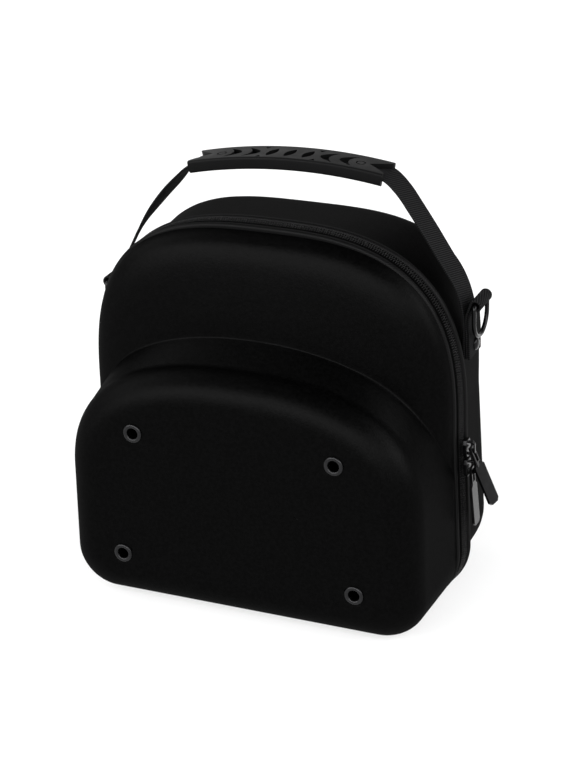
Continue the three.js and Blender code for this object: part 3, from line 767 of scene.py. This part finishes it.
def zip_tape(name, facing, node):
    """Flat woven tape beside the coil."""
    middle = TAPE["inset"] + TAPE["thick"] / 2
    near, _, out = zip_line(middle, facing * TAPE["near"], TAPE["steps"])
    far = zip_line(middle, facing * TAPE["far"], TAPE["steps"])[0]
    bar = rounded_bar(TAPE["far"] - TAPE["near"], TAPE["thick"], TAPE["edge"], steps=3, flats=4)
    woven_band(name, (near + far) / 2, unit(far - near), out, bar, "tape", [node])


def picked(line, pitch, offset):
    """Indices of points at an even pitch along a line, from an offset that is a share of the pitch."""
    count = int(run_lengths(line)[-1] / pitch)
    return ((np.arange(count) + offset) / count * (len(line) - 1)).astype(int)


def scattered(name, centres, axes, sides, ups, stations, sizes, finish):
    """Small rounded bars, one at each centre along its axis, as one piece.

    Stations are (place along the axis, share of size), and sizes are half the width and half the height.
    """
    turn = full_turn(BAR_SIDES)[None, :, None]
    place, share = np.array(stations).T[:, None, :, None, None]
    ring = np.cos(turn) * sides[:, None] * sizes[0] + np.sin(turn) * ups[:, None] * sizes[1]
    points = centres[:, None, None] + axes[:, None, None] * place + ring[:, None] * share
    bars, rows, around = points.shape[:3]
    one = quads((rows, around), around=True)
    caps = np.array([np.arange(around)[::-1], np.arange(around) + (rows - 1) * around])
    faces = [list(f + b * rows * around) for b in range(bars) for f in (*one, *caps)]
    piece(name, points, faces, finish)


def coil_row(name, facing, offset):
    """One row of the nylon coil: rounded turns side by side across the zip."""
    p, along, out = zip_line(COIL["inset"], 0, ZIP_RUN_STEPS)
    across = unit(zip_line(COIL["inset"], facing * COIL["reach"], ZIP_RUN_STEPS)[0] - p)
    i = picked(p, COIL["pitch"], offset)
    scattered(name, p[i], across[i], along[i], out[i], COIL_TURN, (COIL["thick"], COIL["tall"]), "coil")


def tape_stitches(name, facing):
    """Row of stitches that holds the tape to the lip."""
    p, along, out = zip_line(TAPE["inset"] - STITCH["proud"], facing * STITCH["depth"], ZIP_RUN_STEPS)
    i = picked(p, STITCH["pitch"], STITCH["offset"])
    across = np.tile((0.0, facing, 0.0), (len(i), 1))
    stations = [(t * STITCH["length"] / 2, share) for t, share in STITCH_FORM]
    scattered(name, p[i], along[i], across, out[i], stations, (STITCH["thick"], STITCH["thick"]), "thread")


def softened(name, node, width, finish, body="case"):
    """A solid's own shape with its flat faces joined up and its edges rounded."""
    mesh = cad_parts[node].data.copy()
    bm = bmesh.new()
    bm.from_mesh(mesh)
    bmesh.ops.remove_doubles(bm, verts=bm.verts, dist=SOFTEN["weld"] * MM)
    bmesh.ops.dissolve_limit(bm, angle_limit=math.radians(SOFTEN["flat"]), verts=bm.verts, edges=bm.edges)
    sharp = [e for e in bm.edges if e.is_manifold and e.calc_face_angle() > math.radians(SOFTEN["sharp"])]
    bmesh.ops.bevel(bm, geom=sharp, offset=width * MM, segments=SOFTEN["segments"], profile=0.5,
                    affect="EDGES", clamp_overlap=True)
    bmesh.ops.recalc_face_normals(bm, faces=bm.faces)
    bm.to_mesh(mesh)
    bm.free()
    mesh.shade_smooth()
    obj = settle(bpy.data.objects.new(name, mesh), finish, body, [node])
    even = obj.modifiers.new("even", "WEIGHTED_NORMAL")
    even.keep_sharp = False


# Hardware.

def flange_roll(hole, flange):
    """Rounded outer face of an eyelet's flange, from its hole to its rim, as (radius, height)."""
    middle, half = (hole + flange) / 2, (flange - hole) / 2
    points = []
    for a in np.radians(np.linspace(*ROLL["arc"], ROLL["steps"])):
        s = math.sin(a)
        rise = ROLL["foot"] + ROLL["rise"] * s ** ROLL["fullness"] if s > 0 else ROLL["edge"]
        points.append((middle + half * math.cos(a), -rise))
    return points


def eyelet(node):
    """Rolled flange outside, barrel through the wall and washer inside."""
    low, high = box_of(node)
    x, _, z = (low + high) / 2
    flange = (high[0] - low[0]) / 2
    hole = EYELET["hole"] * flange
    barrel, washer = hole + BARREL["metal"], flange - BARREL["metal"]
    seat, inside, end = -BARREL["seat"], WALL + BARREL["clear"], WALL + BARREL["washer"]
    profile = [*flange_roll(hole, flange), (flange - BARREL["lap"], seat), (barrel, seat), (barrel, inside),
               (washer, inside), (washer, end), (hole, end)]
    grid = lathe(profile, (x, ZIP_Y - FRONT_DEPTH, z), (0, 1, 0), EYELET["steps"])
    piece(node + "_rolled", grid, quads(grid.shape, around=True, along=True), "satin", nodes=[node])


def rivet(node):
    """Domed head on the outside, with its shank through tab, webbing and shell."""
    low, high = box_of(node)
    x, y, z = (low + high) / 2
    side = math.copysign(1, x)
    tip = high[0] if side > 0 else low[0]
    head = (high[2] - low[2]) / 2
    end = low[0] - high[0]
    under, tail_from = -RIVET["head"], end + RIVET["tail_thick"]
    shank, tail = RIVET["shank"], RIVET["tail"]
    angles = np.linspace(RIVET_DOME["start"], math.pi / 2, RIVET_DOME["steps"])
    dome = [(head * math.sin(a), -RIVET["dome"] * (1 - math.cos(a))) for a in angles]
    profile = [(OFF_AXIS, 0), *dome, (head - RIVET["lap"], under), (shank, under), (shank, tail_from),
               (tail, tail_from), (tail, end), (OFF_AXIS, end)]
    grid = lathe(profile, (tip, y, z), (side, 0, 0), RIVET["steps"])
    piece(node + "_domed", grid, quads(grid.shape, along=True), "gloss", nodes=[node], weld=RIVET["weld"])


def d_outline():
    """Even points (across, up) of a ring's centre line, from the middle of its straight bar."""
    half = (RING["inside"] + RING["wire"]) / 2
    c, straight = RING["corner"], RING["straight"]
    bend = np.linspace(0, math.pi / 2, RING_STEPS["corner"])
    sweep_down = np.linspace(RING["bow_start"], math.pi / 2, RING_STEPS["bow"])
    right = [(half - c + c * math.sin(a), -c + c * math.cos(a)) for a in bend]
    right += [(half, -straight)]
    right += [(half * math.cos(a), -straight - (RING["drop"] - straight) * math.sin(a)) for a in sweep_down]
    left = [(-u, v) for u, v in right[-2::-1]]
    return at_even_steps(np.array([(0, 0), *right, *left]), RING_STEPS["line"], closed=True)


def d_ring(side):
    """Round wire bent to a D, hanging from its straight bar."""
    line = d_outline()
    x, z = side["sign"] * (RING["x"] + side["out"]), RING["z"] + side["rise"]
    path = np.column_stack([np.full(len(line), x), line[:, 0], z + line[:, 1]])
    along = unit(np.roll(path, -1, axis=0) - np.roll(path, 1, axis=0))
    across = np.tile((1.0, 0.0, 0.0), (len(path), 1))
    a = full_turn(RING_STEPS["wire"])
    wire = np.column_stack([np.cos(a), np.sin(a)]) * RING["wire"] / 2
    grid = sweep(path, across, np.cross(along, across), wire)
    node = "d_ring_" + side["name"]
    faces = quads(grid.shape, around=True, along=True)
    piece(node + "_wire", grid, faces, "gloss", "ring_" + side["name"], [node])


# Handle.

def grip_arc(place, offset):
    """Points (x, z) of the tilted grip at a place along it and an offset from its middle surface."""
    radius = (GRIP["half"] ** 2 + GRIP["rise"] ** 2) / (2 * GRIP["rise"]) - GRIP["thick"] / 2
    angle = np.asarray(place) / radius
    x = (radius + offset) * np.sin(angle)
    z = (radius + offset) * np.cos(angle) - radius
    tilt = math.radians(GRIP["tilt"])
    turned_x = x * math.cos(tilt) - z * math.sin(tilt)
    turned_z = x * math.sin(tilt) + z * math.cos(tilt)
    return np.stack([turned_x, turned_z + GRIP["top_z"] - GRIP["thick"] / 2], -1)


def strap_run(side):
    """Centre line (x, z) of the webbing beside the case, with the right-hand side's sign."""
    return spline(side["run"], STRAP_STEPS["run"])


def strap_side(side):
    """Points from the lower end to the grip's end, where the webbing bends into the sleeve."""
    run = strap_run(side) * (side["sign"], 1)
    half = GRIP["half"] * side["sign"]
    end, before = grip_arc(half, 0), grip_arc(GRIP_END_FROM * half, 0)
    start = run[-1]
    leaving = start + unit(run[-1] - run[-2]) * STRAP["bend"]
    coming = end + unit(end - before) * STRAP["bend"]
    t = np.linspace(0, 1, STRAP_STEPS["bend"])[1:, None]
    s = 1 - t
    bend = start * s ** 3 + 3 * leaving * t * s ** 2 + 3 * coming * t * t * s + end * t ** 3
    return np.vstack([run, bend])


def ribbon_piece(name, xz, thick, nodes, twist):
    """Webbing of even thickness along a line of points, turned about it by a twist at each point."""
    p = np.column_stack([xz[:, 0], np.zeros(len(xz)), xz[:, 1]])
    along = unit(np.gradient(p, axis=0))
    normal = np.column_stack([along[:, 2], np.zeros(len(p)), -along[:, 0]])
    y = np.array([0.0, 1.0, 0.0])
    across = y * np.cos(twist)[:, None] + normal * np.sin(twist)[:, None]
    out = normal * np.cos(twist)[:, None] - y * np.sin(twist)[:, None]
    bar = rounded_bar(STRAP["width"], thick, STRAP["edge"] * thick, steps=4, flats=8)
    woven_band(name, p, across, out, bar, "webbing", nodes)


def handle_strap():
    """Webbing from the right-hand end through the grip to the left-hand end, which hangs with a twist."""
    right, left = (strap_side(side) for side in SIDES)
    arc = grip_arc(np.linspace(GRIP["half"], -GRIP["half"], STRAP_STEPS["grip"])[1:-1], 0)
    xz = np.vstack([right, arc, left[::-1]])
    turns = spline(STRAP_TWIST, STRAP_STEPS["twist"])
    twist = np.interp(xz[:, 1], turns[:, 0], turns[:, 1]) * (xz[:, 0] < -GRIP["half"])
    ribbon_piece("handle_webbing", xz, STRAP["thick"], ["handle_strap"], np.radians(twist))


def ring_tab(side):
    """Folded webbing: up along the strap, round the ring's bar and back down on top of itself."""
    strap = strap_run(side)
    inner = []
    for level in TAB["levels"]:
        z = level + side["rise"]
        x = np.interp(z, strap[:, 1], strap[:, 0])
        inner.append((x + STRAP["thick"] / 2 + GAP + TAB["thick"] / 2, z))
    r = RING["wire"] / 2 + TAB["clear"] + TAB["thick"] / 2
    turn = math.pi - np.radians(TAB["wrap"]) * np.linspace(0, 1, TAB["eye_steps"])
    bar_x, bar_z = RING["x"] + side["out"], RING["z"] + side["rise"]
    eye = [(bar_x + r * math.cos(a), bar_z + r * math.sin(a)) for a in turn]
    outer = [(x + TAB["thick"] + GAP, z) for x, z in inner[::-1]]
    xz = spline([*inner, *eye, *outer], TAB["steps"]) * (side["sign"], 1)
    untwisted = np.zeros(len(xz))
    ribbon_piece("ring_tab_" + side["name"], xz, TAB["thick"], ["ring_loop_" + side["name"]], untwisted)


def oval_outline(x):
    """Slanting leaf with pointed ends."""
    v = np.linspace(-1, 1, OVAL["steps"])
    right = np.column_stack([OVAL["width"] / 2 * (1 - v * v), OVAL["length"] / 2 * v])
    leaf = np.vstack([right, right[-2:0:-1] * (-1, 1)])
    a = math.radians(-OVAL["slant"])
    turn = np.array([[math.cos(a), math.sin(a)], [-math.sin(a), math.cos(a)]])
    return leaf @ turn + (x, 0)


def crescent_outline(front, side):
    """Pointed crescent that bulges towards the middle of the grip."""
    v = np.linspace(-1, 1, CRESCENT["steps"])
    outer = np.column_stack([front + CRESCENT["bow"] * v * v, CRESCENT["half"] * v])
    tips = front + CRESCENT["bow"]
    inner = np.column_stack([tips - CRESCENT["hollow"] * (1 - v * v), CRESCENT["half"] * v])
    return np.vstack([outer, inner[-2:0:-1]]) * (side, 1)


def dart_outline(side, edge):
    """Small triangle between an oval and a crescent, pointing at the middle."""
    x, half = side * DART["x"], DART["half"]
    base, apex = edge * DART["base"], edge * DART["apex"]
    return np.array([(x - half, base), (x + half, base), (x, apex)])


def circle_outline(side, radius):
    """Circle near one end of the grip."""
    a = full_turn(CIRCLE["steps"])
    return np.column_stack([side * CIRCLE["x"] + radius * np.cos(a), radius * np.sin(a)])


def grip_points(outline, offset):
    """An outline (along, across) of the pattern laid on the grip at an offset from its middle surface."""
    placed = outline + PATTERN_MIDDLE
    xz = grip_arc(placed[:, 0], offset)
    return np.column_stack([xz[:, 0], placed[:, 1], xz[:, 1]])


def pattern_cutters():
    """Cut-outs down to the webbing, and a shallow ring at each end."""
    outlines = [oval_outline(x) for x in OVAL["xs"]]
    for side in (-1, 1):
        outlines += [crescent_outline(front, side) for front in CRESCENT["fronts"]]
        outlines += [dart_outline(side, edge) for edge in (-1, 1)]
    above = GRIP["thick"] / 2 + CUT_OUT["clear"]
    meshes = [cutter([grip_points(o, CUT_OUT["floor"]), grip_points(o, above)]) for o in outlines]
    sunk = GRIP["thick"] / 2 - CIRCLE["deep"]
    half_width = CIRCLE["width"] / 2
    for side in (-1, 1):
        wide = circle_outline(side, CIRCLE["radius"] + half_width)
        narrow = circle_outline(side, CIRCLE["radius"] - half_width)
        corners = ((wide, sunk), (wide, above), (narrow, above), (narrow, sunk))
        meshes.append(cutter([grip_points(o, offset) for o, offset in corners], hollow=True))
    return meshes


def grip():
    """Moulded sleeve on the webbing, with cut-outs and rings on top and fishtail ends."""
    u = np.linspace(-1, 1, GRIP["steps"])
    grids = []
    for size, way in ((GRIP, 1), (GRIP_TUNNEL, -1)):
        bar = rounded_bar(size["width"], size["thick"], size["edge"], steps=6, flats=16)
        y, offset = bar[:, 0], bar[:, 1]
        notch = GRIP_NOTCH["deep"] * (1 - np.abs(y) / GRIP_NOTCH["mouth"]).clip(0)
        x = (u[:, None] * (GRIP["half"] - notch)[None, :])[::way]
        xz = grip_arc(x, offset[None, :])
        grids.append(np.stack([xz[..., 0], np.broadcast_to(y, x.shape), xz[..., 1]], -1))
    grid = np.vstack(grids)
    obj = piece("grip_sleeve", grid, quads(grid.shape, around=True, along=True), "rubber", nodes=["grip"])
    carve(obj, pattern_cutters())
    obj.data.set_sharp_from_angle(angle=math.radians(GRIP_SHARP))


# Stage.

def direction(azimuth, elevation):
    """Direction from the object to a place round it. Azimuth 0 is the front and 90 the right-hand side."""
    a, e = math.radians(azimuth), math.radians(elevation)
    return Vector((math.sin(a) * math.cos(e), -math.cos(a) * math.cos(e), math.sin(e)))


def camera():
    a, r = math.radians(CAMERA["azimuth"]), math.radians(CAMERA["roll"])
    back = direction(CAMERA["azimuth"], CAMERA["elevation"])
    right = Vector((math.cos(a), math.sin(a), 0))
    up = back.cross(right)
    right, up = right * math.cos(r) + up * math.sin(r), up * math.cos(r) - right * math.sin(r)
    data = bpy.data.cameras.new("camera")
    data.sensor_fit = "VERTICAL"
    data.sensor_height = SENSOR
    data.lens = FOCAL_PIXELS * SENSOR / IMAGE_HEIGHT
    data.clip_end = FAR_CLIP_METRES
    obj = bpy.data.objects.new("camera", data)
    place = (Vector(CAMERA["target"]) + CAMERA["distance"] * back) * MM
    turn = Matrix((right, up, back)).transposed()
    obj.matrix_world = Matrix.Translation(place) @ turn.to_4x4()
    bpy.context.scene.collection.objects.link(obj)
    bpy.context.scene.camera = obj


def floor():
    bpy.ops.mesh.primitive_plane_add(size=FLOOR["size"], location=(0, 0, -FLOOR["drop"]))
    obj = bpy.context.object
    obj.name = "floor"
    shade = (FLOOR["shade"],) * 3
    f = Finish("pale_floor", shade, Roughness=FLOOR["roughness"], Specular_IOR_Level=FLOOR["gloss"],
               Emission_Color=(1, 1, 1, 1), Emission_Strength=FLOOR["glow"])
    obj.data.materials.append(f.material)


def sun(name, azimuth, elevation, power):
    """A broad, even light from one side."""
    data = bpy.data.lights.new(name, "SUN")
    data.energy = power
    data.angle = math.radians(LIGHT_SPREAD)
    obj = bpy.data.objects.new(name, data)
    obj.rotation_euler = direction(azimuth, elevation).to_track_quat("Z", "Y").to_euler()
    bpy.context.scene.collection.objects.link(obj)


def lights():
    """Walls that darken towards the ceiling, and the broad lights."""
    world = bpy.data.worlds.new("studio")
    bpy.context.scene.world = world
    world.use_nodes = True
    nodes, links = world.node_tree.nodes, world.node_tree.links
    height = nodes.new("ShaderNodeSeparateXYZ")
    links.new(nodes.new("ShaderNodeTexCoord").outputs["Generated"], height.inputs[0])
    fade = nodes.new("ShaderNodeMapRange")
    for socket, value in enumerate((0.0, CEILING_FROM, WALLS, CEILING), start=1):
        fade.inputs[socket].default_value = value
    links.new(height.outputs[2], fade.inputs[0])
    backdrop = nodes["Background"]
    backdrop.inputs[0].default_value = (1, 1, 1, 1)
    links.new(fade.outputs[0], backdrop.inputs[1])
    for light in LIGHTS:
        sun(**light)
    bpy.context.scene.view_settings.view_transform = "Standard"
    bpy.context.scene.view_settings.look = "None"


# Assembly.

front_shell()
rear_shell()
for half in HALVES:
    name, facing = half["name"], half["facing"]
    lip(name + "_lip_welt", facing, name + "_lip")
    zip_tape("zip_tape_" + name, facing, "zip_" + name)
    coil_row("zip_coil_" + name, facing, half["offset"])
    tape_stitches("zip_stitches_" + name, facing)
softened("hinge_tape", "hinge_strip", EDGE_ROUND["hinge"], "tape")
for level in ("upper", "lower"):
    softened(f"slider_{level}_cast", f"slider_{level}", EDGE_ROUND["slider"], "gloss")
    softened(f"pull_{level}_plate", f"zip_pull_{level}", EDGE_ROUND["pull"], "gloss", "pull_" + level)
    for name in ("left", "right"):
        eyelet(f"eyelet_{level}_{name}")
handle_strap()
grip()
for side in SIDES:
    ring_tab(side)
    d_ring(side)
    rivet("strap_rivet_" + side["name"])
camera()
floor()
lights()
